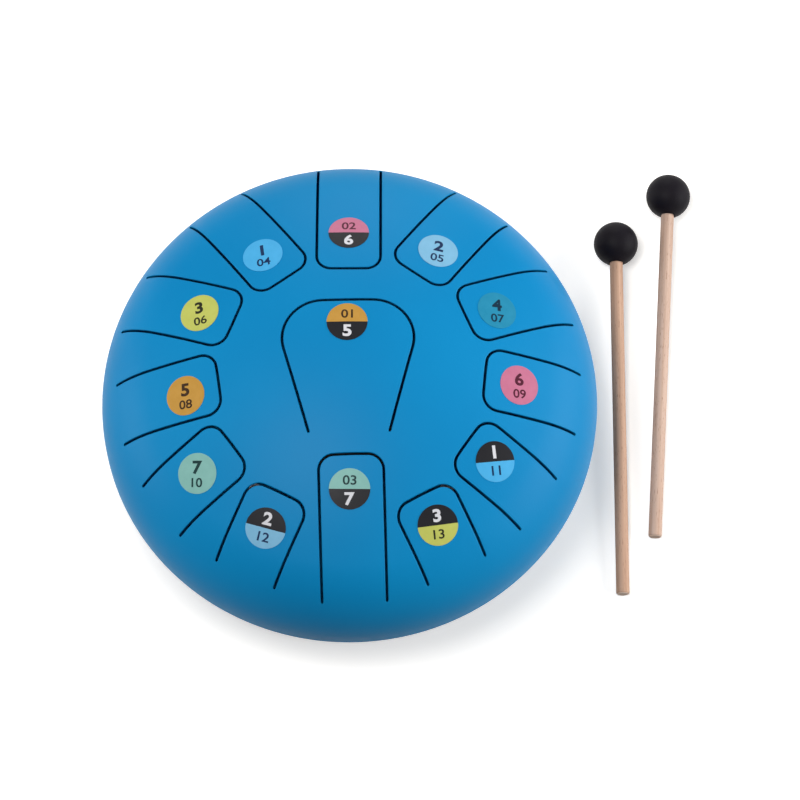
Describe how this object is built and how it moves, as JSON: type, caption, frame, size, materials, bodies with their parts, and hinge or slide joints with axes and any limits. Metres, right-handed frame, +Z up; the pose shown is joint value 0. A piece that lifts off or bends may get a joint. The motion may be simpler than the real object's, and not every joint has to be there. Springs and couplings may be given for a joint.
{
  "type": "steel tongue drum",
  "caption": "Low round steel tongue drum: domed painted shell with slit-cut sprung tongues and note labels, a sound hole in its base, rubber feet, and loose rubber-ball mallets.",
  "frame": {"origin": "where the drum's axis meets the table, in the plane of the feet", "axes": "+Z up along the drum's axis, +Y from the player towards the far side, +X towards the mallets on the player's right"},
  "size_m": [0.3674, 0.3231, 0.1504],
  "materials": {
    "blue_paint": "satin powder coat on sheet steel",
    "foot_rubber": "moulded, matt",
    "zinc_plate": "bright zinc plate",
    "beech": "sanded, unvarnished",
    "head_rubber": "moulded, matt",
    "label_orange": "printed vinyl film, satin",
    "label_pink": "printed vinyl film, satin",
    "label_mint": "printed vinyl film, satin",
    "label_light_blue": "printed vinyl film, satin",
    "label_pale_blue": "printed vinyl film, satin",
    "label_yellow": "printed vinyl film, satin",
    "label_teal": "printed vinyl film, satin"
  },
  "bodies": {
    "drum_body": {"upper_shell": "blue_paint", "lower_shell": "blue_paint", "foot_back": "foot_rubber", "foot_left": "foot_rubber", "foot_right": "foot_rubber", "foot_screws": "zinc_plate", "foot_washers": "zinc_plate", "foot_nuts": "zinc_plate"},
    "tongue_01": {"tongue_01": "blue_paint", "label_01": "label_orange"},
    "tongue_02": {"tongue_02": "blue_paint", "label_02": "label_pink"},
    "tongue_03": {"tongue_03": "blue_paint", "label_03": "label_mint"},
    "tongue_04": {"tongue_04": "blue_paint", "label_04": "label_light_blue"},
    "tongue_05": {"tongue_05": "blue_paint", "label_05": "label_pale_blue"},
    "tongue_06": {"tongue_06": "blue_paint", "label_06": "label_yellow"},
    "tongue_07": {"tongue_07": "blue_paint", "label_07": "label_teal"},
    "tongue_08": {"tongue_08": "blue_paint", "label_08": "label_orange"},
    "tongue_09": {"tongue_09": "blue_paint", "label_09": "label_pink"},
    "tongue_10": {"tongue_10": "blue_paint", "label_10": "label_mint"},
    "tongue_11": {"tongue_11": "blue_paint", "label_11": "label_light_blue"},
    "tongue_12": {"tongue_12": "blue_paint", "label_12": "label_pale_blue"},
    "tongue_13": {"tongue_13": "blue_paint", "label_13": "label_yellow"},
    "mallet_left": {"mallet_stick_left": "beech", "mallet_head_left": "head_rubber"},
    "mallet_right": {"mallet_stick_right": "beech", "mallet_head_right": "head_rubber"}
  },
  "joints": [
    {"name": "tongue_01_flex", "type": "hinge", "parent": "drum_body", "child": "tongue_01", "pos_m": [0, -0.04303, 0.14572], "axis": [-1, 0, 0], "range_deg": [-0.5, 0.5], "stiffness_Nm_per_rad": 12.54, "springref_deg": -0.11},
    {"name": "tongue_02_flex", "type": "hinge", "parent": "drum_body", "child": "tongue_02", "pos_m": [0.00182, 0.13908, 0.10374], "axis": [0.9999, -0.0131, 0], "range_deg": [-0.5, 0.5], "stiffness_Nm_per_rad": 8.77, "springref_deg": -0.09},
    {"name": "tongue_03_flex", "type": "hinge", "parent": "drum_body", "child": "tongue_03", "pos_m": [0.00177, -0.13482, 0.10909], "axis": [-0.9999, -0.0131, 0], "range_deg": [-0.5, 0.5], "stiffness_Nm_per_rad": 7.2, "springref_deg": -0.1},
    {"name": "tongue_04_flex", "type": "hinge", "parent": "drum_body", "child": "tongue_04", "pos_m": [-0.0786, 0.11415, 0.10444], "axis": [0.8236, 0.5671, 0], "range_deg": [-0.5, 0.5], "stiffness_Nm_per_rad": 6.83, "springref_deg": -0.1},
    {"name": "tongue_05_flex", "type": "hinge", "parent": "drum_body", "child": "tongue_05", "pos_m": [0.0803, 0.11175, 0.10577], "axis": [0.8121, -0.5835, 0], "range_deg": [-0.5, 0.5], "stiffness_Nm_per_rad": 5.46, "springref_deg": -0.11},
    {"name": "tongue_06_flex", "type": "hinge", "parent": "drum_body", "child": "tongue_06", "pos_m": [-0.12685, 0.05332, 0.10577], "axis": [0.3875, 0.9219, 0], "range_deg": [-0.5, 0.5], "stiffness_Nm_per_rad": 4.68, "springref_deg": -0.11},
    {"name": "tongue_07_flex", "type": "hinge", "parent": "drum_body", "child": "tongue_07", "pos_m": [0.12557, 0.05279, 0.1075], "axis": [0.3875, -0.9219, 0], "range_deg": [-0.5, 0.5], "stiffness_Nm_per_rad": 3.8, "springref_deg": -0.12},
    {"name": "tongue_08_flex", "type": "hinge", "parent": "drum_body", "child": "tongue_08", "pos_m": [-0.13417, -0.01766, 0.10854], "axis": [-0.1305, 0.9914, 0], "range_deg": [-0.5, 0.5], "stiffness_Nm_per_rad": 3.32, "springref_deg": -0.13},
    {"name": "tongue_09_flex", "type": "hinge", "parent": "drum_body", "child": "tongue_09", "pos_m": [0.13394, -0.0155, 0.10909], "axis": [-0.1149, -0.9934, 0], "range_deg": [-0.5, 0.5], "stiffness_Nm_per_rad": 2.67, "springref_deg": -0.13},
    {"name": "tongue_10_flex", "type": "hinge", "parent": "drum_body", "child": "tongue_10", "pos_m": [-0.10981, -0.07789, 0.10931], "axis": [-0.5786, 0.8156, 0], "range_deg": [-0.5, 0.5], "stiffness_Nm_per_rad": 2.17, "springref_deg": -0.14},
    {"name": "tongue_11_flex", "type": "hinge", "parent": "drum_body", "child": "tongue_11", "pos_m": [0.10916, -0.07744, 0.11016], "axis": [-0.5786, -0.8156, 0], "range_deg": [-0.5, 0.5], "stiffness_Nm_per_rad": 2, "springref_deg": -0.15},
    {"name": "tongue_12_flex", "type": "hinge", "parent": "drum_body", "child": "tongue_12", "pos_m": [-0.06118, -0.11803, 0.11107], "axis": [-0.8878, 0.4602, 0], "range_deg": [-0.5, 0.5], "stiffness_Nm_per_rad": 1.49, "springref_deg": -0.16},
    {"name": "tongue_13_flex", "type": "hinge", "parent": "drum_body", "child": "tongue_13", "pos_m": [0.06095, -0.11759, 0.11155], "axis": [-0.8878, -0.4602, 0], "range_deg": [-0.5, 0.5], "stiffness_Nm_per_rad": 1.2, "springref_deg": -0.18},
    {"name": "mallet_left_lift", "type": "slide", "parent": "drum_body", "child": "mallet_left", "axis": [0, 0, 1], "range_m": [0, 0.25]},
    {"name": "mallet_right_lift", "type": "slide", "parent": "drum_body", "child": "mallet_right", "axis": [0, 0, 1], "range_m": [0, 0.25]}
  ]
}
